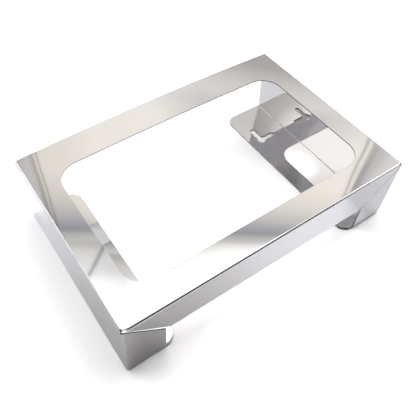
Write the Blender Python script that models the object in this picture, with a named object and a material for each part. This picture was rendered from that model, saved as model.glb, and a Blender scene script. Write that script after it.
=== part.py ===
# Glove box dispenser, one sheet of polished stainless steel cut flat and folded.
#
# The flat blank is drawn first, with its window, keyholes and corner reliefs.
# It is then given its thickness and folded at right angles along its fold
# lines: two side walls, a back flange on each, a half-depth flange along the
# near long side, and a corner tab at each near corner. The far long side has
# no flange, because the glove box slides in there.
#
# X runs along the long side, Y from the near flange to the open far side, and
# Z out of the wall to the front panel. The origin is at the middle of the box
# that holds the part, on the plane of the wall it hangs on.

import math

import bmesh
import bpy
from mathutils import Vector

# Driving dimensions in metres: the folded body, over its outside faces
body_length = 0.255
body_width = 0.168
body_depth = 0.064
sheet_thickness = 0.0010
inside_bend_radius = 0.0006

# How far through the sheet, from the inside of a fold, the length stays as cut
neutral_share = 0.40

# Window in the front panel
window_side_margin = 0.0210
window_near_margin = 0.0217
window_far_margin = 0.0278
window_corner_radius = 0.0170

# Flanges and tabs. The near flange's free edge runs slightly aslant, and the back
# flanges end this far inside the near face, below the tabs.
near_flange_left_depth = 0.0328
near_flange_right_depth = 0.0360
corner_tab_width = 0.0326
back_flange_width = 0.0432
back_flange_corner_radius = 0.0095
back_flange_near_setback = 0.0005

# The side walls' free edges lean back by this much at the wall plane
far_edge_setback = 0.0033

# Near corners: the gap between the tab's mitred top and the flange's mitred end, at the
# fold and at the tip. The left corner stands open, and the right one nearly closes.
left_gap_at_fold = 0.0023
left_gap_at_tip = 0.0036
right_gap_at_fold = 0.0012
right_gap_at_tip = 0.0004

# Relief cuts run this far past a fold line
relief_overrun = 0.0003

# Keyholes: a round head for the screw, and a slot towards the open side and the side
# wall. The head is wider than the slots by one step on each side.
keyhole_from_side = 0.0308
keyhole_from_far_edge = 0.0439
keyhole_slot_width = 0.0048
keyhole_head_step = 0.0016
keyhole_slot_reach = 0.0153

# The front panel has sprung up in the middle of its unsupported far edge
panel_crown = 0.0030

# Facets of the folds, the rounded corners and the panel's crown
fold_steps = 6
corner_steps = 8
keyhole_head_steps = 14
keyhole_notch_steps = 2
crown_steps_along = 12
crown_steps_across = 5
smooth_up_to_degrees = 30

# Folding follows from the radii
outside_bend_radius = inside_bend_radius + sheet_thickness
neutral_radius = inside_bend_radius + neutral_share * sheet_thickness
fold_length = neutral_radius * math.pi / 2

# Fold lines on the blank, measured out from the panel's centre line
half_length = body_length / 2
side_fold = half_length - outside_bend_radius
side_fold_end = side_fold + fold_length
back_fold = side_fold_end + body_depth - 2 * outside_bend_radius
back_fold_end = back_fold + fold_length
back_edge = back_fold_end + back_flange_width - outside_bend_radius

# The near fold line, measured from the panel's centre towards the near side
half_width = body_width / 2
near_fold = half_width - outside_bend_radius
near_fold_end = near_fold + fold_length


def clear_objects():
    for item in list(bpy.data.objects):
        bpy.data.objects.remove(item, do_unlink=True)


def arc(centre, radius, start_degrees, end_degrees, steps):
    """Points on an arc, both ends included."""
    points = []
    for step in range(steps + 1):
        angle = math.radians(start_degrees + (end_degrees - start_degrees) * step / steps)
        points.append((centre[0] + radius * math.cos(angle), centre[1] + radius * math.sin(angle)))
    return points


def on_side_wall(depth):
    """Place on the blank of a line on the side wall, by its depth below the front face."""
    return side_fold_end + depth - outside_bend_radius


def on_near_face(distance):
    """Place on the blank of a line on the near flange, or on a tab, by its folded distance."""
    return near_fold_end + distance - outside_bend_radius


def side_outline(flange_depth, gap_at_fold, gap_at_tip):
    """Outline of one half of the blank, from the far edge round to the near flange.

    Each point is (out, near): out from the centre line, and towards the near side.
    """
    far_edge = -half_width
    setback_edge = far_edge + far_edge_setback
    radius = back_flange_corner_radius
    back_flange_near_edge = half_width - back_flange_near_setback
    back_flange_root = back_fold_end + relief_overrun
    tab_foot = back_fold - relief_overrun
    tab_end = on_near_face(corner_tab_width)
    tab_top = side_fold_end + relief_overrun
    tab_top_start = near_fold_end + relief_overrun
    relief_edge = near_fold - relief_overrun
    flange_end = half_length - outside_bend_radius - gap_at_fold
    flange_tip = half_length - corner_tab_width - gap_at_tip

    # Side wall's leaning free edge, then the back flange with its rounded corners
    points = [(side_fold_end, far_edge), (back_fold, setback_edge), (back_fold_end, setback_edge)]
    points += arc((back_edge - radius, setback_edge + radius), radius, -90, 0, corner_steps)
    points += arc((back_edge - radius, back_flange_near_edge - radius), radius, 0, 90, corner_steps)
    # Relief at the foot of the corner, then the tab with its mitred top
    points += [(back_flange_root, back_flange_near_edge), (back_flange_root, relief_edge)]
    points += [(tab_foot, relief_edge), (tab_foot, tab_end)]
    points += [(on_side_wall(flange_depth), tab_end), (tab_top, tab_top_start)]
    # Relief at the top of the corner, then the near flange's mitred end
    points += [(tab_top, relief_edge), (flange_end, relief_edge), (flange_end, near_fold_end)]
    points += [(flange_tip, on_near_face(flange_depth))]
    return points


def blank_outline():
    """Whole outline of the blank as (x, y), with y away from the near side."""
    right = side_outline(near_flange_right_depth, right_gap_at_fold, right_gap_at_tip)
    left = side_outline(near_flange_left_depth, left_gap_at_fold, left_gap_at_tip)
    outline = [(out, -near) for out, near in right]
    outline += [(-out, -near) for out, near in reversed(left)]
    return outline


def window_outline():
    right = half_length - window_side_margin
    near = -half_width + window_near_margin
    far = half_width - window_far_margin
    r = window_corner_radius
    points = arc((right - r, near + r), r, -90, 0, corner_steps)
    points += arc((right - r, far - r), r, 0, 90, corner_steps)
    points += arc((-right + r, far - r), r, 90, 180, corner_steps)
    points += arc((-right + r, near + r), r, 180, 270, corner_steps)
    return points


def keyhole_outline(side):
    """Round head with a slot towards the side wall and one towards the far edge."""
    w = keyhole_slot_width / 2
    r = w + keyhole_head_step
    reach = keyhole_slot_reach - w
    meet = math.degrees(math.asin(w / r))
    # In the keyhole's own plane the first axis points to the side wall, the second to the far edge
    points = arc((reach, 0), w, -90, 90, corner_steps)
    if r > w * math.sqrt(2):
        points += arc((0, 0), r, meet, 90 - meet, keyhole_notch_steps)
    else:
        points += [(w, w)]
    points += arc((0, reach), w, 0, 180, corner_steps)
    points += arc((0, 0), r, 90 + meet, 360 - meet, keyhole_head_steps)
    out = back_fold_end + keyhole_from_side - outside_bend_radius
    far = half_width - keyhole_from_far_edge
    return [(side * (out - towards_wall), far + towards_far) for towards_wall, towards_far in points]


def fold_places(start):
    return [start + fold_length * step / fold_steps for step in range(fold_steps + 1)]


def crease_lines():
    """Lines on the blank along which it is divided: the folds' steps and the crown's grid."""
    across_x = []
    for start in (side_fold, back_fold):
        for place in fold_places(start):
            across_x += [place, -place]
    for step in range(1, crown_steps_along):
        across_x.append(side_fold * (2 * step / crown_steps_along - 1))
    across_y = [-place for place in fold_places(near_fold)]
    for step in range(1, crown_steps_across):
        across_y.append(-near_fold + (half_width + near_fold) * step / crown_steps_across)
    return across_x, across_y


def draw_blank(work):
    """Fills the outline, less its holes, with flat triangles and divides them at the creases."""
    edges = []
    for outline in (blank_outline(), window_outline(), keyhole_outline(1), keyhole_outline(-1)):
        corners = [work.verts.new((x, y, 0.0)) for x, y in outline]
        for first, second in zip(corners, corners[1:] + corners[:1]):
            edges.append(work.edges.new((first, second)))
    bmesh.ops.triangle_fill(work, use_beauty=True, edges=edges)
    across_x, across_y = crease_lines()
    for place in across_x:
        divide(work, Vector((place, 0, 0)), Vector((1, 0, 0)))
    for place in across_y:
        divide(work, Vector((0, place, 0)), Vector((0, 1, 0)))
    bmesh.ops.triangulate(work, faces=work.faces[:])


def divide(work, point, normal):
    geometry = work.verts[:] + work.edges[:] + work.faces[:]
    bmesh.ops.bisect_plane(work, geom=geometry, dist=1e-6, plane_co=point, plane_no=normal)


def thicken(work):
    """Makes the flat triangles a closed plate, with the show face at height 0."""
    grown = bmesh.ops.extrude_face_region(work, geom=work.faces[:])
    inner = [item for item in grown["geom"] if isinstance(item, bmesh.types.BMVert)]
    bmesh.ops.translate(work, verts=inner, vec=(0, 0, -sheet_thickness))


def along_folds(distance, depth, fold_starts):
    """Follows a cross-section of the sheet round its right-angle folds.

    Distance runs over the blank and depth is into the sheet from its show face. Each fold
    bends the sheet inwards about a centre one outside radius below the show face.
    """
    across = 0.0
    inward = 0.0
    heading = 0.0
    covered = 0.0
    for start in fold_starts:
        if distance <= start:
            break
        across += (start - covered) * math.cos(heading)
        inward += (start - covered) * math.sin(heading)
        centre_across = across - outside_bend_radius * math.sin(heading)
        centre_inward = inward + outside_bend_radius * math.cos(heading)
        heading += min((distance - start) / neutral_radius, math.pi / 2)
        across = centre_across + outside_bend_radius * math.sin(heading)
        inward = centre_inward - outside_bend_radius * math.cos(heading)
        covered = min(distance, start + fold_length)
    across += (distance - covered) * math.cos(heading)
    inward += (distance - covered) * math.sin(heading)
    return across - depth * math.sin(heading), inward + depth * math.cos(heading)


def crown_height(x, y):
    """Rise of the front panel: a parabola along its length, growing towards the far edge."""
    if abs(x) >= side_fold or y <= -near_fold:
        return 0.0
    along = 1 - (x / side_fold) ** 2
    across = (y + near_fold) / (half_width + near_fold)
    return panel_crown * along * across


def folded(x, y, depth):
    """Where a point of the blank comes to lie once every fold is made."""
    # The near fold bends the flange and the tabs, which end before the back flanges begin
    near_folds = [near_fold] if abs(x) < back_fold else []
    near, inward = along_folds(-y, depth, near_folds)
    out, inward = along_folds(abs(x), inward, [side_fold, back_fold])
    return Vector((math.copysign(out, x), -near, body_depth - inward + crown_height(x, y)))


def fold(work):
    for corner in work.verts:
        corner.co = folded(corner.co.x, corner.co.y, -corner.co.z)
    bmesh.ops.recalc_face_normals(work, faces=work.faces[:])


def polished_stainless():
    material = bpy.data.materials.new("polished_stainless_sheet")
    material.use_nodes = True
    shader = material.node_tree.nodes["Principled BSDF"]
    shader.inputs["Base Color"].default_value = (0.62, 0.60, 0.58, 1.0)
    shader.inputs["Metallic"].default_value = 1.0
    shader.inputs["Roughness"].default_value = 0.12
    return material


def dispenser_body():
    work = bmesh.new()
    draw_blank(work)
    thicken(work)
    fold(work)
    mesh = bpy.data.meshes.new("dispenser_body")
    work.to_mesh(mesh)
    work.free()
    mesh.shade_smooth()
    mesh.set_sharp_from_angle(angle=math.radians(smooth_up_to_degrees))
    mesh.materials.append(polished_stainless())
    body = bpy.data.objects.new("dispenser_body", mesh)
    bpy.context.scene.collection.objects.link(body)
    return body


clear_objects()
dispenser_body()
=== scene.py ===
# Looks of the disposable glove dispenser: one folded sheet of polished stainless
# steel standing on a white sweep inside a light tent.
import math

import bpy
import numpy as np
from mathutils import Matrix


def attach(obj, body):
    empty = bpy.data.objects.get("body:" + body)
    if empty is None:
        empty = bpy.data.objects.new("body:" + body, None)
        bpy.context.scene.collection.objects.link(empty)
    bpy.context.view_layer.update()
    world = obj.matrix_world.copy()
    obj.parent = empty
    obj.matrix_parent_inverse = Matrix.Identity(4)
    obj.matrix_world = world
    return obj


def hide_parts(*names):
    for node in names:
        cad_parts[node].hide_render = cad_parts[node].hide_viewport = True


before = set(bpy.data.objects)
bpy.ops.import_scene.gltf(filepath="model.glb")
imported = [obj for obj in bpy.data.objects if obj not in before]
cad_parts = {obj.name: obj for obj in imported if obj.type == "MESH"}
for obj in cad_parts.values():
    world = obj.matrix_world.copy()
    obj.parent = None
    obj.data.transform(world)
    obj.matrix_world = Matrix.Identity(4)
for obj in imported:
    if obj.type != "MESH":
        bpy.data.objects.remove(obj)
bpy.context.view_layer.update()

mm = 0.001


def linearColour(hexText):
    # sRGB hex to linear RGBA, as the shader wants it
    srgb = np.array([int(hexText[i:i + 2], 16) for i in (1, 3, 5)]) / 255
    linear = np.where(srgb <= 0.04045, srgb / 12.92, ((srgb + 0.055) / 1.055) ** 2.4)
    return (*linear.tolist(), 1.0)


def addNode(tree, kind, settings=None, **links):
    # One shader node. Settings are its properties or sockets by name. Links are socket
    # names (spaces as underscores), or i0, i1 and so on by number, to another node's
    # output or to a value.
    node = tree.nodes.new("ShaderNode" + kind)
    for name, value in (settings or {}).items():
        if hasattr(node, name):
            setattr(node, name, value)
        else:
            node.inputs[name].default_value = value
    for name, source in links.items():
        byNumber = name[0] == "i" and name[1:].isdigit()
        key = int(name[1:]) if byNumber else name.replace("_", " ")
        if isinstance(source, bpy.types.NodeSocket):
            tree.links.new(source, node.inputs[key])
        else:
            node.inputs[key].default_value = source
    return node


def emptyTree(owner):
    owner.use_nodes = True
    owner.node_tree.nodes.clear()
    return owner.node_tree


# Sheet: the folded body over its outside faces. Left is -1 and right is 1.
sheet = {
    "length": 255 * mm,            # over the side walls
    "width": 168 * mm,             # near flange to open side
    "depth": 64 * mm,              # front panel to wall
    "thickness": 1.0 * mm,
    "insideRadius": 0.6 * mm,
    "neutralShare": 0.40,          # where the sheet keeps its length in a fold
    "crown": 3.0 * mm,             # spring of the front panel at its free edge
    "wallLean": 3.3 * mm,          # the side walls' far edges lean back by this
    "flangeDepth": {-1: 32.8 * mm, 1: 36.0 * mm},
    "gapAtFold": {-1: 2.3 * mm, 1: 1.2 * mm},
    "gapAtTip": {-1: 3.6 * mm, 1: 0.4 * mm},
    "tabWidth": 32.6 * mm,
    "backFlange": 43.2 * mm,
    "backCorner": 9.5 * mm,
    "backSetback": 0.5 * mm,       # the back flanges end this much short of the near face
    "relief": 0.3 * mm,
    "edgeBreak": 0.06 * mm,        # the cut edges are deburred
    "edgeAngle": 50,               # degrees: sharper edges than this are cut ones
}
window = {"side": 21.0 * mm, "near": 21.7 * mm, "far": 27.8 * mm, "corner": 17.0 * mm}
keyhole = {
    "fromSide": 30.8 * mm,
    "fromFar": 43.9 * mm,
    "slot": 4.8 * mm,              # width of both slots
    "head": 4.0 * mm,              # radius
    "reach": 15.3 * mm,            # from the head's middle to a slot's end
}

# Mesh: spacing of its grids
grid = {
    "step": 2.0 * mm,
    "stepAtKeyhole": 0.5 * mm,
    "keyholeZone": 22 * mm,        # to each side of the keyhole
    "foldSteps": 14,
    "cornerPoints": 14,
    "lineStep": 0.02 * mm,         # along the window's and the keyholes' outlines
}

outsideRadius = sheet["insideRadius"] + sheet["thickness"]
neutralRadius = sheet["insideRadius"] + sheet["neutralShare"] * sheet["thickness"]
foldLength = neutralRadius * math.pi / 2

# Places on the flat blank, out from its middle: along its length, then across it
halfLength, halfWidth = sheet["length"] / 2, sheet["width"] / 2
sideFold = halfLength - outsideRadius
sideFoldEnd = sideFold + foldLength
backFold = sideFoldEnd + sheet["depth"] - 2 * outsideRadius
backFoldEnd = backFold + foldLength
backEdge = backFoldEnd + sheet["backFlange"] - outsideRadius
nearFold = halfWidth - outsideRadius
nearFoldEnd = nearFold + foldLength
reliefEdge = nearFold - sheet["relief"]
keyholePlace = -(halfWidth - keyhole["fromFar"])


def alongFolds(distance, depth, foldStarts):
    # A cross-section of the sheet: straight to each fold line, round a quarter turn about
    # a centre one outside radius below the show face, then straight on. Depth goes into
    # the sheet. Counting starts a metre short of the middle, for the places before it.
    across, inward, heading, covered = -1.0, 0.0, 0.0, -1.0
    for start in foldStarts:
        straight = np.maximum(np.minimum(distance, start) - covered, 0)
        turned = heading + np.clip((distance - start) / neutralRadius, 0, math.pi / 2)
        turnAcross = outsideRadius * (np.sin(turned) - np.sin(heading))
        turnInward = outsideRadius * (np.cos(heading) - np.cos(turned))
        across = across + straight * np.cos(heading) + turnAcross
        inward = inward + straight * np.sin(heading) + turnInward
        heading, covered = turned, start + foldLength
    rest = np.maximum(distance - covered, 0)
    across = across + rest * np.cos(heading)
    inward = inward + rest * np.sin(heading)
    return across - depth * np.sin(heading), inward + depth * np.cos(heading)


def foldSheet(x, y, depth):
    # Flat blank to folded part. The near fold bends the flange and the tabs; the side folds
    # then carry everything beyond them; the panel rises as a parabola along its length.
    nearBent, inwardBent = alongFolds(-y, depth, [nearFold])
    isBent = np.abs(x) < backFold - 1e-7   # the back flanges stay clear of the near fold
    near, inward = np.where(isBent, nearBent, -y), np.where(isBent, inwardBent, depth)
    out, inward = alongFolds(np.abs(x), inward, [sideFold, backFold])
    along = np.clip(1 - (x / sideFold) ** 2, 0, 1)
    across = np.clip((y + nearFold) / (halfWidth + nearFold), 0, 1)
    rise = sheet["crown"] * along * across
    return np.column_stack([np.copysign(out, x), -near, sheet["depth"] - inward + rise])


def spaced(start, end, step=grid["step"]):
    return np.linspace(start, end, max(2, int(round(abs(end - start) / step)) + 1))


def atHeight(places, height):
    return np.column_stack([places, np.full(len(places), height)])


# Shares of the way across a strip of the sheet: a flat one, with its rows closer together
# beside its folds and edges, a fold, and a strip too narrow to divide
flatShares = np.array([0, 0.015, 0.05, 0.13, 0.27, 0.42, 0.58, 0.73, 0.87, 0.95, 0.985, 1.0])
foldShares = np.linspace(0, 1, grid["foldSteps"] + 1)
endShares = np.array([0.0, 1.0])


def ruled(first, second, steps=flatShares):
    # Surface between two lines of points: straight from each point to its partner
    return first[:, None] + (second - first)[:, None] * steps[None, :, None]


def ringTo(outer, hole, middle):
    # Surface between a closed line of points and a hole: both are read off in the same
    # directions from a middle point, so every ray runs straight from edge to hole
    rays, holeRays = outer - middle, hole - middle
    angles = np.arctan2(rays[:, 1], rays[:, 0])
    holeAngles = np.arctan2(holeRays[:, 1], holeRays[:, 0])
    order = np.argsort(holeAngles)
    reach = np.hypot(*holeRays.T)[order]
    reach = np.interp(angles, holeAngles[order], reach, period=2 * math.pi)
    inner = middle + reach[:, None] * np.column_stack([np.cos(angles), np.sin(angles)])
    return ruled(outer, inner)


def arcLine(centre, radius, start, end, points=200):
    angle = np.radians(np.linspace(start, end, points))
    x, y = centre[0] + radius * np.cos(angle), centre[1] + radius * np.sin(angle)
    return np.column_stack([x, y])


def densely(line):
    # The closed line again, with its points one line step apart
    closed = np.vstack([line, line[:1]])
    lengths = np.hypot(*np.diff(closed, axis=0).T)
    walked = np.concatenate([[0], np.cumsum(lengths)])
    places = np.arange(0, walked[-1], grid["lineStep"])
    return np.column_stack([np.interp(places, walked, closed[:, axis]) for axis in (0, 1)])


def windowLine():
    right, r = halfLength - window["side"], window["corner"]
    near, far = -halfWidth + window["near"], halfWidth - window["far"]
    corners = [
        (right - r, near + r, -90), (right - r, far - r, 0),
        (-right + r, far - r, 90), (-right + r, near + r, 180),
    ]
    return densely(np.vstack([arcLine((x, y), r, start, start + 90) for x, y, start in corners]))


def keyholeLine():
    # Round head with one slot to the side wall and one to the far edge, about its own middle
    w, r = keyhole["slot"] / 2, keyhole["head"]
    reach = keyhole["reach"] - w
    meet = math.degrees(math.asin(w / r))
    return densely(np.vstack([
        arcLine((-reach, 0), w, 270, 90),
        arcLine((0, 0), r, 180 - meet, 90 + meet, points=20),
        arcLine((0, reach), w, 180, 0),
        arcLine((0, 0), r, 90 - meet, -180 + meet),
    ]))


def sidePatches(side, nearPlaces):
    # Side wall, back flange and corner tab on one side, as grids on the flat blank.
    # Places are (out from the centre line, towards the near side).
    tabTop, tabFoot = sideFoldEnd + sheet["relief"], backFold - sheet["relief"]
    root = backFoldEnd + sheet["relief"]
    farEdge = -halfWidth

    def line(out):
        # Across the wall at this distance out, with its far end leant back
        lean = np.clip((out - sideFoldEnd) / (backFold - sideFoldEnd), 0, 1) * sheet["wallLean"]
        share = (nearPlaces - farEdge) / (reliefEdge - farEdge)
        across = farEdge + lean + share * (reliefEdge - farEdge - lean)
        return atHeight(across, out)[:, ::-1]

    strips = [
        (sideFold, sideFoldEnd, foldShares), (sideFoldEnd, tabTop, endShares),
        (tabTop, tabFoot, flatShares), (tabFoot, backFold, endShares),
        (backFold, backFoldEnd, foldShares), (backFoldEnd, root, endShares),
    ]
    patches = [ruled(line(start), line(end), steps) for start, end, steps in strips]

    # Corner tab: straight over the near fold, then out to its mitred end
    places = tabTop + flatShares * (tabFoot - tabTop)
    foot = nearFoldEnd + sheet["relief"]
    rows = np.concatenate([[reliefEdge], nearFold + foldShares * foldLength, [foot]])
    patches.append(np.stack(np.meshgrid(places, rows, indexing="ij"), axis=-1))
    tabEnd = nearFoldEnd + sheet["tabWidth"] - outsideRadius
    mitreTip = sideFoldEnd + sheet["flangeDepth"][side] - outsideRadius
    freePlaces = mitreTip + flatShares * (tabFoot - mitreTip)
    patches.append(ruled(atHeight(places, foot), atHeight(freePlaces, tabEnd)))

    # Back flange: from its rounded outline in to the keyhole
    farEnd, nearEnd = farEdge + sheet["wallLean"], halfWidth - sheet["backSetback"]
    c, points = sheet["backCorner"], grid["cornerPoints"]
    outwards, inwards = spaced(root, backEdge - c), spaced(backEdge - c, root)
    nearwards = spaced(farEnd + c, nearEnd - c)
    start = line(root)[::-1]
    outline = np.vstack([
        start,
        atHeight(outwards[1:-1], farEnd),
        arcLine((backEdge - c, farEnd + c), c, -90, 0, points),
        atHeight(nearwards[1:-1], backEdge)[:, ::-1],
        arcLine((backEdge - c, nearEnd - c), c, 0, 90, points),
        atHeight(inwards[1:], nearEnd),
        start[:1],
    ])
    middle = np.array([backFoldEnd + keyhole["fromSide"] - outsideRadius, keyholePlace])
    patches.append(ringTo(outline, middle + keyholeLine() * [1, -1], middle))
    return [patch * [side, -1] for patch in patches]


def frontPatches(nearPlaces):
    # Front panel as a ring from its outline in to the window, and the near flange below it
    tip = halfLength - sheet["tabWidth"]
    leftTop, rightTop = (sideFold - sheet["gapAtFold"][side] for side in (-1, 1))
    leftTip, rightTip = (tip - sheet["gapAtTip"][side] for side in (-1, 1))
    leftDepth, rightDepth = (sheet["flangeDepth"][side] for side in (-1, 1))
    top = spaced(-leftTop, rightTop)
    outline = np.vstack([
        atHeight(np.concatenate([[-sideFold], top, [sideFold]]), -reliefEdge),
        atHeight(-nearPlaces[::-1], sideFold)[1:, ::-1],
        atHeight(spaced(sideFold, -sideFold)[1:-1], halfWidth),
        atHeight(-nearPlaces, -sideFold)[:, ::-1],
    ])
    patches = [ringTo(outline, windowLine(), np.zeros(2))]

    rows = np.concatenate([[reliefEdge], nearFold + foldShares * foldLength])
    patches.append(np.stack(np.meshgrid(top, -rows, indexing="ij"), axis=-1))
    share = (top - top[0]) / (top[-1] - top[0])
    edgeX = -leftTip + share * (rightTip + leftTip)
    edgeNear = nearFoldEnd + (leftDepth + share * (rightDepth - leftDepth)) - outsideRadius
    patches.append(ruled(atHeight(top, -nearFoldEnd), np.column_stack([edgeX, -edgeNear])))
    return patches


def closedSheet(name, patches):
    # Welds the flat grids where they share points, to the nearest 10 nm, folds the show
    # face and the inside face, and closes them with a wall along every free edge
    corners, faces, count = [], [], 0
    for patch in patches:
        rows, columns = patch.shape[:2]
        index = count + np.arange(rows * columns).reshape(rows, columns)
        around = [index[:-1, :-1], index[1:, :-1], index[1:, 1:], index[:-1, 1:]]
        faces.append(np.stack(around, -1).reshape(-1, 4))
        corners.append(patch.reshape(-1, 2))
        count += rows * columns
    flat, weld = np.unique(np.round(np.vstack(corners), 8), axis=0, return_inverse=True)
    quads = weld.reshape(-1)[np.vstack(faces)]
    x, y = flat[quads].transpose(2, 0, 1)
    area = ((np.roll(y, -1, 1) + y) * (x - np.roll(x, -1, 1))).sum(1)
    quads = np.where(area[:, None] < 0, quads[:, ::-1], quads)

    # An edge is free when no neighbour runs along it the other way
    start, end = quads.ravel(), np.roll(quads, -1, 1).ravel()
    size = len(flat)
    free = ~np.isin(start * size + end, end * size + start)
    start, end = start[free], end[free]
    rim = np.column_stack([end, start, start + size, end + size])
    inside = quads[:, ::-1] + size
    sides = [foldSheet(flat[:, 0], flat[:, 1], depth) for depth in (0.0, sheet["thickness"])]
    points = np.vstack(sides)
    mesh = bpy.data.meshes.new(name)
    mesh.from_pydata(points, [], np.vstack([quads, inside, rim]))
    mesh.shade_smooth()
    mesh.update()
    isCut = np.concatenate([np.zeros(2 * len(quads)), np.ones(len(rim))])
    mesh.attributes.new("cut_edge", "FLOAT", "FACE").data.foreach_set("value", isCut)
    print(name, len(points), "points", len(mesh.polygons), "faces,", "free edges", len(start))
    return mesh


# Rows across the side walls, closer together beside the keyhole
zoneStart, zoneEnd = keyholePlace - grid["keyholeZone"], keyholePlace + grid["keyholeZone"]
nearPlaces = np.concatenate([
    spaced(-halfWidth, zoneStart)[:-1],
    spaced(zoneStart, zoneEnd, grid["stepAtKeyhole"]),
    spaced(zoneEnd, reliefEdge)[1:],
])
patches = frontPatches(nearPlaces) + sidePatches(1, nearPlaces) + sidePatches(-1, nearPlaces)
body = bpy.data.objects.new("dispenser_sheet", closedSheet("dispenser_sheet", patches))
bpy.context.scene.collection.objects.link(body)
edgeBreak = body.modifiers.new("deburred edges", "BEVEL")
edgeBreak.width = sheet["edgeBreak"]
edgeBreak.segments = 2             # enough to round so fine an edge
edgeBreak.limit_method = "ANGLE"
edgeBreak.angle_limit = math.radians(sheet["edgeAngle"])
edgeBreak.use_clamp_overlap = False
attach(body, "root")
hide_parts("dispenser_body")


# Cold-rolled stainless steel sheet, polished bright: sharp reflections, slightly
# softened by the polishing grain along the sheet, and bent by the sheet's own faint
# waviness. Its edges are laser cut: darker, matt and finely ribbed, so they draw thin lines.
steel = {
    "colour": "#D2D1D1",
    "roughness": (0.028, 0.048),   # between the grain's lines and on them
    "wavesPerMetre": 22,           # waviness of the rolled sheet, about 45 mm apart
    "waveHeight": 0.04 * mm,
    "grainLength": 14 * mm,
    "grainWidth": 0.35 * mm,
    "grainHeight": 0.0004 * mm,
    "grainRange": (0.35, 0.65),    # the part of the noise that the roughness follows
    "cutColour": "#636266",
    "cutRoughness": 0.42,
    "ribSpacing": 0.25 * mm,
    "ribHeight": 0.01 * mm,
}


def polishedStainless():
    material = bpy.data.materials.new("stainless_steel_bright_polished")
    tree = emptyTree(material)
    place = addNode(tree, "TexCoord").outputs["Object"]
    softNoise = {"Scale": steel["wavesPerMetre"], "Detail": 1.0, "Roughness": 0.4}
    waves = addNode(tree, "TexNoise", softNoise, Vector=place).outputs["Fac"]
    height = {"Distance": steel["waveHeight"], "Strength": 1.0}
    wavy = addNode(tree, "Bump", height, Height=waves).outputs["Normal"]

    # Polishing grain: noise drawn out along the dispenser's length
    drawn = (1 / steel["grainLength"], 1 / steel["grainWidth"], 1 / steel["grainWidth"])
    drawn = addNode(tree, "VectorMath", {"operation": "MULTIPLY"}, i0=place, i1=drawn).outputs[0]
    fineNoise = {"Scale": 1.0, "Detail": 3.0, "Roughness": 0.6}
    grain = addNode(tree, "TexNoise", fineNoise, Vector=drawn).outputs["Fac"]
    height = {"Distance": steel["grainHeight"], "Strength": 1.0}
    grained = addNode(tree, "Bump", height, Height=grain, Normal=wavy).outputs["Normal"]
    (least, most), (low, high) = steel["grainRange"], steel["roughness"]
    ranges = {"From Min": least, "From Max": most, "To Min": low, "To Max": high}
    soft = addNode(tree, "MapRange", ranges, Value=grain).outputs[0]

    # Laser-cut edges, where the mesh marks them
    cut = addNode(tree, "Attribute", {"attribute_name": "cut_edge"}).outputs["Fac"]
    ribNoise = {"Scale": 1 / steel["ribSpacing"], "Detail": 2.0}
    ribs = addNode(tree, "TexNoise", ribNoise, Vector=place).outputs["Fac"]
    ribs = addNode(tree, "Math", {"operation": "MULTIPLY"}, i0=ribs, i1=cut).outputs[0]
    height = {"Distance": steel["ribHeight"], "Strength": 1.0}
    ribbed = addNode(tree, "Bump", height, Height=ribs, Normal=grained).outputs["Normal"]
    colours = {"i6": linearColour(steel["colour"]), "i7": linearColour(steel["cutColour"])}
    colour = addNode(tree, "Mix", {"data_type": "RGBA"}, i0=cut, **colours).outputs[2]
    rough = {"i2": soft, "i3": steel["cutRoughness"]}
    roughness = addNode(tree, "Mix", {"data_type": "FLOAT"}, i0=cut, **rough).outputs[0]
    looks = {"Base_Color": colour, "Roughness": roughness, "Normal": ribbed}
    shader = addNode(tree, "BsdfPrincipled", {"Metallic": 1.0}, **looks).outputs[0]
    addNode(tree, "OutputMaterial", Surface=shader)
    return material


body.data.materials.append(polishedStainless())
print("sheet dressed")


def toneRamp(tree, tones, place, low, high):
    # A ramp of tones over places from low to high. Each tone is (place, sRGB colour,
    # strength); the ramp holds them as shares of the strongest.
    ends = {"From Min": low, "From Max": high}
    share = addNode(tree, "MapRange", ends, Value=place).outputs["Result"]
    ramp = addNode(tree, "ValToRGB", Fac=share)
    strongest = max(strength for _, _, strength in tones)
    for k, (at, colour, strength) in enumerate(tones):
        stops = ramp.color_ramp.elements   # a new ramp has two already
        stop = stops[k] if k < 2 else stops.new(1.0)
        stop.position = (at - low) / (high - low)
        stop.color = (*(np.array(linearColour(colour)[:3]) * strength / strongest).tolist(), 1)
    settings = {"operation": "SCALE", "Scale": strongest}
    return addNode(tree, "VectorMath", settings, i0=ramp.outputs["Color"]).outputs[0]


# Floor: matt white paper sweep
floorLook = {
    "size": 6.0,
    "colour": "#F2F2F4",
    "exposure": 2.28,              # how far past white the picture shows the open paper
    # the paper as it shows in the steel, with painted shade and light by distance from a place
    # below the camera: greyer there (a painted shadow), brighter outwards, then a step darker
    "paintedShadowPlace": (-0.112, -0.095, 0.0),
    "paintedShadowReach": 0.30,
    "paintedShadeInSteel": [
        (0.0, "#F1F1F2", 1.0), (0.016, "#F1F1F2", 1.05), (0.03, "#F1F1F2", 1.25),
        (0.055, "#F1F1F2", 1.36), (0.073, "#F0F0F4", 1.48), (0.091, "#F0F0F4", 1.62),
        (0.115, "#F0F1F7", 1.88), (0.18, "#F0F1F8", 2.18), (0.222, "#F0F1F8", 2.2),
        (0.231, "#F0F1F8", 1.6), (0.245, "#F0F1F8", 1.48), (0.30, "#F0F1F8", 1.48),
    ],
}


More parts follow.
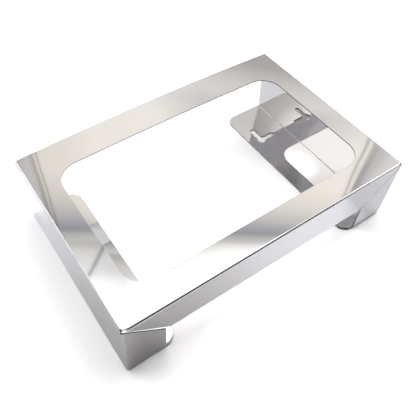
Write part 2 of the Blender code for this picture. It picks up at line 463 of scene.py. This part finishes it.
def whiteFloor():
    # Seen by the camera or in the steel the paper is exposed past white, so it goes white without
    # more light on the steel, and the soft shadows by the steel stay below it. In the steel it
    # also carries painted shade and light: a painted shadow below the camera, brighter further
    # out.
    half = floorLook["size"] / 2
    corners = [(-half, -half, 0), (half, -half, 0), (half, half, 0), (-half, half, 0)]
    mesh = bpy.data.meshes.new("white_floor")
    mesh.from_pydata(corners, [], [(0, 1, 2, 3)])
    floor = bpy.data.objects.new("white_floor", mesh)
    bpy.context.scene.collection.objects.link(floor)

    material = bpy.data.materials.new("matt_white_paper")
    tree = emptyTree(material)
    plain = linearColour(floorLook["colour"])
    bright = (*(np.array(plain[:3]) * floorLook["exposure"]).tolist(), 1)
    place = addNode(tree, "TexCoord").outputs["Object"]
    # painted shade and light: the paper as the steel shows it, darker near a place below the
    # camera and brighter further out
    spots = {"i0": place, "i1": floorLook["paintedShadowPlace"]}
    distance = addNode(tree, "VectorMath", {"operation": "DISTANCE"}, **spots).outputs["Value"]
    tone = toneRamp(tree, floorLook["paintedShadeInSteel"], distance, 0, floorLook["paintedShadowReach"])
    path = addNode(tree, "LightPath").outputs
    paper = addNode(tree, "BsdfDiffuse", {"Color": plain}).outputs[0]
    paintedShadeInSteel = addNode(tree, "BsdfDiffuse", Color=tone).outputs[0]
    seen = addNode(tree, "BsdfDiffuse", {"Color": bright}).outputs[0]
    paper = addNode(tree, "MixShader", i0=path["Is Glossy Ray"], i1=paper, i2=paintedShadeInSteel).outputs[0]
    paper = addNode(tree, "MixShader", i0=path["Is Camera Ray"], i1=paper, i2=seen).outputs[0]
    addNode(tree, "OutputMaterial", Surface=paper)
    mesh.materials.append(material)


whiteFloor()


# Light tent: a box of white cloth, far larger than the dispenser, turned to face the
# camera, open towards it. Lengths are shares of the distance to its back wall: X across,
# Y towards the back, Z up. Strength 1 is the level that lights the steel, and a wall's
# tones along its two ways are multiplied.
white, warmWhite, clothGrey, roomGrey = "#FFFFFF", "#FFFDFA", "#FAF8F6", "#F4F2F0"
warmCloth, poleGrey, roofGrey = "#FFFBF7", "#FBFCFF", "#FAF9F6"
tent = {
    "turn": 35.3,                  # degrees from the dispenser's short side
    "halfWidth": 0.549,
    "height": 1.643,
    "mouth": (-0.16, -0.10),       # where the cloth ends, softly, along Y
    "nearWall": 0.0005,            # a place this close to a wall is on it
    # the back wall: warm cloth with a dark hem below the roof
    "back": {
        "Z": [
            (0.0, warmCloth, 0.40), (0.69, warmCloth, 1.66), (0.79, warmCloth, 1.54),
            (0.90, warmCloth, 1.15), (1.05, "#FFFAF3", 1.16), (1.27, "#FFF8F0", 1.19),
            (1.38, "#FDF8F0", 1.05), (1.48, "#F8F6F2", 0.82), (1.535, "#F6F6FF", 0.60),
            (1.573, "#F6F6FF", 0.46), (1.592, "#FBFAF7", 0.66), (1.643, "#FFFEFA", 0.88),
        ],
        "X": [
            (-0.549, white, 0.97), (-0.40, white, 1.0), (-0.28, white, 1.12),
            (-0.05, white, 1.13), (0.2, white, 1.03), (0.549, white, 1.15),
        ],
    },
    # its foot, dimmed by tones along X that fade out between two heights
    "backFoot": [(-0.549, white, 1.2), (0.0, white, 0.5), (0.549, white, 0.5)],
    "backFootTop": (0.70, 0.85),
    # a dull patch on it, by distance from its middle
    "dullPlace": (0.24, 1.0, 0.80),
    "dull": [(0.0, white, 0.72), (0.18, white, 0.74), (0.36, white, 1.0)],
    # a low lamp behind the left cloth
    "left": {
        "Y": [
            (-0.10, white, 0.2), (0.1, white, 1.2), (0.3, white, 2.3),
            (0.5, white, 0.4), (0.8, white, 1.6), (1.0, white, 2.6),
        ],
        "Z": [
            (0.0, warmWhite, 0.4), (0.3, warmWhite, 1.75), (0.6, clothGrey, 0.27),
            (0.9, clothGrey, 0.27), (1.2, clothGrey, 0.40), (1.643, clothGrey, 0.30),
        ],
    },
    # a level strip light before it, which the left fold shows along its whole length
    "strip": {
        "Y": [(0.0, white, 0.0), (0.03, white, 1.0), (0.42, white, 1.0), (0.45, white, 0.0)],
        "Z": [(0.645, white, 0.0), (0.66, white, 7.5), (0.735, white, 7.5), (0.75, white, 0.0)],
    },
    # an upright strip light behind the right cloth
    "right": {
        "Y": [
            (-0.10, white, 0.3), (0.3, white, 0.35), (0.41, white, 1.2), (0.44, white, 5.0),
            (0.50, white, 5.0), (0.54, white, 1.4), (0.65, white, 1.0), (0.80, white, 0.80),
            (0.93, white, 0.74), (0.96, white, 0.64), (1.0, white, 0.70),
        ],
        "Z": [
            (0.0, warmWhite, 1.9), (0.3, warmWhite, 1.8), (0.6, warmWhite, 1.1),
            (0.9, clothGrey, 1.5), (1.2, clothGrey, 1.5), (1.643, clothGrey, 1.6),
        ],
    },
    # the roof, brightest a little before the back wall
    "roof": {
        "Y": [
            (-0.10, white, 0.2), (0.2, white, 0.35), (0.45, white, 2.2), (0.80, white, 2.9),
            (0.86, white, 2.3), (0.885, "#FEFDFC", 1.85), (0.91, "#FCFBFA", 1.68),
            (0.934, "#FBFAF8", 1.62), (0.955, roofGrey, 1.52), (0.975, roofGrey, 1.27),
            (1.0, roofGrey, 0.97),
        ],
        "X": [
            (-0.549, white, 0.78), (-0.35, white, 0.72), (-0.2, white, 0.60),
            (0.2, white, 1.2), (0.549, white, 1.4),
        ],
    },
    # a seam in the roof's cloth: a place on it, its way, its width and its tones
    "seam": {
        "place": (-0.347, 0.884),
        "way": (0.440, 0.898),
        "width": 0.012,
        "tones": [(0.0, "#F0F0F6", 0.52), (0.4, "#F0F0F6", 0.56), (1.0, white, 1.0)],
    },
    # small lamps: place, and tones by distance
    "lamps": [
        ((-0.549, -0.06, 0.55), [
            (0.0, "#FFFCF9", 2.05), (0.05, "#FFFCF9", 1.80), (0.09, "#FFFCF9", 1.60),
            (0.125, "#FFFCF9", 0.35), (0.15, "#FFFCF9", 0.0),
        ]),
        ((-0.549, 0.012, 0.588), [(0.0, white, 1.5), (0.018, white, 1.2), (0.038, white, 0.0)]),
        ((0.549, 0.10, 0.50), [
            (0.0, warmWhite, 2.0), (0.09, warmWhite, 1.8), (0.14, warmWhite, 0.0),
        ]),
    ],
    # the room beyond the mouth: dim, and as the steel shows it
    "room": [
        (-1.0, roomGrey, 0.15), (-0.60, roomGrey, 0.05), (-0.16, roomGrey, 0.05),
        (-0.10, roomGrey, 0.0),
    ],
    "roomInSteel": {
        "Y": [
            (-1.0, roomGrey, 0.90), (-0.72, roomGrey, 0.75), (-0.52, roomGrey, 0.20),
            (-0.16, roomGrey, 0.06), (-0.10, roomGrey, 0.0),
        ],
        "Z": [(0.0, white, 0.75), (0.45, white, 1.0), (1.0, white, 0.70), (1.643, white, 0.45)],
    },
    # the poles at its back corners: their inner edge and how far it leans, as a share of
    # the height, and the tones outwards from that edge
    "poles": {
        "inner": 0.5275,
        "aside": -0.0685,
        "lean": 0.062,
        "reach": (-0.05, 0.10),
        "tones": [
            (-0.0045, white, 1.0), (-0.0024, poleGrey, 0.48), (0.0024, poleGrey, 0.48),
            (0.0042, white, 0.98), (0.0105, white, 0.98), (0.0160, poleGrey, 0.60),
            (0.0195, poleGrey, 0.52), (0.0240, poleGrey, 0.56), (0.0310, "#FDFDFF", 0.72),
            (0.0360, white, 0.86), (0.06, white, 0.92), (0.10, white, 1.0),
        ],
    },
}


def lightTent():
    world = bpy.data.worlds.new("light_tent")
    bpy.context.scene.world = world
    tree = emptyTree(world)
    add, multiply, scale = ({"operation": name} for name in ("ADD", "MULTIPLY", "SCALE"))

    # Where the way out meets the box: its direction, as long as the nearest wall allows
    corner = (tent["halfWidth"], 1.0, tent["height"])
    outward = addNode(tree, "TexCoord").outputs["Generated"]
    turn = {"rotation_type": "Z_AXIS", "Angle": math.radians(tent["turn"])}
    turned = addNode(tree, "VectorRotate", turn, Vector=outward).outputs[0]
    length = addNode(tree, "VectorMath", {"operation": "ABSOLUTE"}, i0=turned).outputs[0]
    reach = addNode(tree, "VectorMath", {"operation": "DIVIDE"}, i0=corner, i1=length).outputs[0]
    parts = addNode(tree, "SeparateXYZ", Vector=reach).outputs
    least = parts["X"]
    for part in (parts["Y"], parts["Z"]):
        least = addNode(tree, "Math", {"operation": "MINIMUM"}, i0=least, i1=part).outputs[0]
    place = addNode(tree, "VectorMath", scale, i0=turned, Scale=least).outputs[0]
    spot = addNode(tree, "SeparateXYZ", Vector=place).outputs
    reaches = {
        "X": (-tent["halfWidth"], tent["halfWidth"]),
        "Y": (-1, 1),
        "Z": (0, tent["height"]),
    }

    def wallTone(ways):
        first, second = [toneRamp(tree, ways[axis], spot[axis], *reaches[axis]) for axis in ways]
        return addNode(tree, "VectorMath", multiply, i0=first, i1=second).outputs[0]

    def glowRound(middle, tones):
        ends = {"i0": place, "i1": middle}
        distance = addNode(tree, "VectorMath", {"operation": "DISTANCE"}, **ends).outputs["Value"]
        return toneRamp(tree, tones, distance, 0, 1)

    # Cloth of the sides, with the lamps' glow, as far as the mouth, and the room beyond it
    isRight = addNode(tree, "Math", {"operation": "GREATER_THAN"}, i0=spot["X"], i1=0.0).outputs[0]
    lefts = {"i0": wallTone(tent["left"]), "i1": wallTone(tent["strip"])}
    cloths = {
        "i6": addNode(tree, "VectorMath", add, **lefts).outputs[0],
        "i7": wallTone(tent["right"]),
    }
    side = addNode(tree, "Mix", {"data_type": "RGBA"}, i0=isRight, **cloths).outputs[2]
    for lamp in tent["lamps"]:
        side = addNode(tree, "VectorMath", add, i0=side, i1=glowRound(*lamp)).outputs[0]
    mouthStart, mouthEnd = tent["mouth"]
    ends = {"From Min": mouthStart, "From Max": mouthEnd}
    inside = addNode(tree, "MapRange", ends, Value=spot["Y"]).outputs[0]
    path = addNode(tree, "LightPath").outputs
    rooms = {
        "i6": toneRamp(tree, tent["room"], spot["Y"], *reaches["Y"]),
        "i7": wallTone(tent["roomInSteel"]),
    }
    isGlossy = path["Is Glossy Ray"]
    room = addNode(tree, "Mix", {"data_type": "RGBA"}, i0=isGlossy, **rooms).outputs[2]
    side = addNode(tree, "VectorMath", scale, i0=side, Scale=inside).outputs[0]
    side = addNode(tree, "VectorMath", add, i0=side, i1=room).outputs[0]

    # Roof with its seam, which counts in widths from its middle line
    seam = tent["seam"]
    across = (seam["way"][1] / seam["width"], -seam["way"][0] / seam["width"], 0)
    offset = across[0] * seam["place"][0] + across[1] * seam["place"][1]
    ends = {"i0": place, "i1": across}
    away = addNode(tree, "VectorMath", {"operation": "DOT_PRODUCT"}, **ends).outputs["Value"]
    away = addNode(tree, "Math", {"operation": "SUBTRACT"}, i0=away, i1=offset).outputs[0]
    away = addNode(tree, "Math", {"operation": "ABSOLUTE"}, i0=away).outputs[0]
    seamTone = toneRamp(tree, seam["tones"], away, 0, 1)
    roof = wallTone(tent["roof"])
    roof = addNode(tree, "VectorMath", multiply, i0=roof, i1=seamTone).outputs[0]
    roof = addNode(tree, "VectorMath", scale, i0=roof, Scale=inside).outputs[0]
    roof = addNode(tree, "VectorMath", add, i0=roof, i1=room).outputs[0]

    # Back wall with its foot and its dull patch
    footStart, footEnd = tent["backFootTop"]
    ends = {"From Min": footStart, "From Max": footEnd}
    aboveFoot = addNode(tree, "MapRange", ends, Value=spot["Z"]).outputs[0]
    footTone = toneRamp(tree, tent["backFoot"], spot["X"], *reaches["X"])
    tones = {"i6": footTone, "i7": (1, 1, 1, 1)}
    foot = addNode(tree, "Mix", {"data_type": "RGBA"}, i0=aboveFoot, **tones).outputs[2]
    dull = glowRound(tent["dullPlace"], tent["dull"])
    back = wallTone(tent["back"])
    for tone in (foot, dull):
        back = addNode(tree, "VectorMath", multiply, i0=back, i1=tone).outputs[0]
    ends = {"i0": spot["Y"], "i1": 1 - tent["nearWall"]}
    isBack = addNode(tree, "Math", {"operation": "GREATER_THAN"}, **ends).outputs[0]
    walls = addNode(tree, "Mix", {"data_type": "RGBA"}, i0=isBack, i6=side, i7=back).outputs[2]

    # Poles: how far across the way goes at the back wall's distance, less the lean
    poles = tent["poles"]
    ahead = addNode(tree, "SeparateXYZ", Vector=turned).outputs
    far = addNode(tree, "Math", {"operation": "ABSOLUTE"}, i0=ahead["Y"]).outputs[0]
    farAcross = addNode(tree, "Math", {"operation": "DIVIDE"}, i0=ahead["X"], i1=far).outputs[0]
    farUp = addNode(tree, "Math", {"operation": "DIVIDE"}, i0=ahead["Z"], i1=far).outputs[0]
    leaning = {"i0": farUp, "i1": -poles["lean"], "i2": farAcross}
    away = addNode(tree, "Math", {"operation": "MULTIPLY_ADD"}, **leaning).outputs[0]
    away = addNode(tree, "Math", {"operation": "SUBTRACT"}, i0=away, i1=poles["aside"]).outputs[0]
    away = addNode(tree, "Math", {"operation": "ABSOLUTE"}, i0=away).outputs[0]
    away = addNode(tree, "Math", {"operation": "SUBTRACT"}, i0=away, i1=poles["inner"]).outputs[0]
    poleTone = toneRamp(tree, poles["tones"], away, *poles["reach"])
    walls = addNode(tree, "VectorMath", multiply, i0=walls, i1=poleTone).outputs[0]

    ends = {"i0": spot["Z"], "i1": tent["height"] - tent["nearWall"]}
    isRoof = addNode(tree, "Math", {"operation": "GREATER_THAN"}, **ends).outputs[0]
    cloth = addNode(tree, "Mix", {"data_type": "RGBA"}, i0=isRoof, i6=walls, i7=roof).outputs[2]
    lit = addNode(tree, "Background", {"Strength": 1.0}, Color=cloth).outputs[0]
    # The open paper runs on into a white backdrop
    backdrop = addNode(tree, "Background", {"Color": (1, 1, 1, 1), "Strength": 1.0}).outputs[0]
    shown = addNode(tree, "MixShader", i0=path["Is Camera Ray"], i1=lit, i2=backdrop).outputs[0]
    addNode(tree, "OutputWorld", Surface=shown)


lightTent()
print("floor and tent set")


# Camera: where the photographer stood
camera = {
    "place": (-0.174795, -0.207903, 0.367310),
    "right": (0.833457, -0.552493, 0.010043),
    "forward": (0.364093, 0.535395, -0.762095),
    "focal": 518.343,              # in pixels of the 416 pixel wide picture
    "middle": (174.124, 173.92),   # where the view axis meets the picture
    "pixels": 416,
    "sensor": 36,                  # millimetres
    "clipStart": 10 * mm,
}
lensData = bpy.data.cameras.new("camera")
lensData.sensor_width = camera["sensor"]
lensData.lens = camera["focal"] / camera["pixels"] * lensData.sensor_width
lensData.shift_x = (camera["pixels"] / 2 - camera["middle"][0]) / camera["pixels"]
lensData.shift_y = (camera["middle"][1] - camera["pixels"] / 2) / camera["pixels"]
lensData.clip_start = camera["clipStart"]
cameraObject = bpy.data.objects.new("camera", lensData)
bpy.context.scene.collection.objects.link(cameraObject)
right, forward = np.array(camera["right"]), np.array(camera["forward"])
axes = Matrix(np.column_stack([right, np.cross(right, forward), -forward]).tolist())
cameraObject.matrix_world = Matrix.Translation(camera["place"]) @ axes.to_4x4()
bpy.context.scene.camera = cameraObject
bpy.context.scene.view_settings.view_transform = "Standard"
print("camera set")
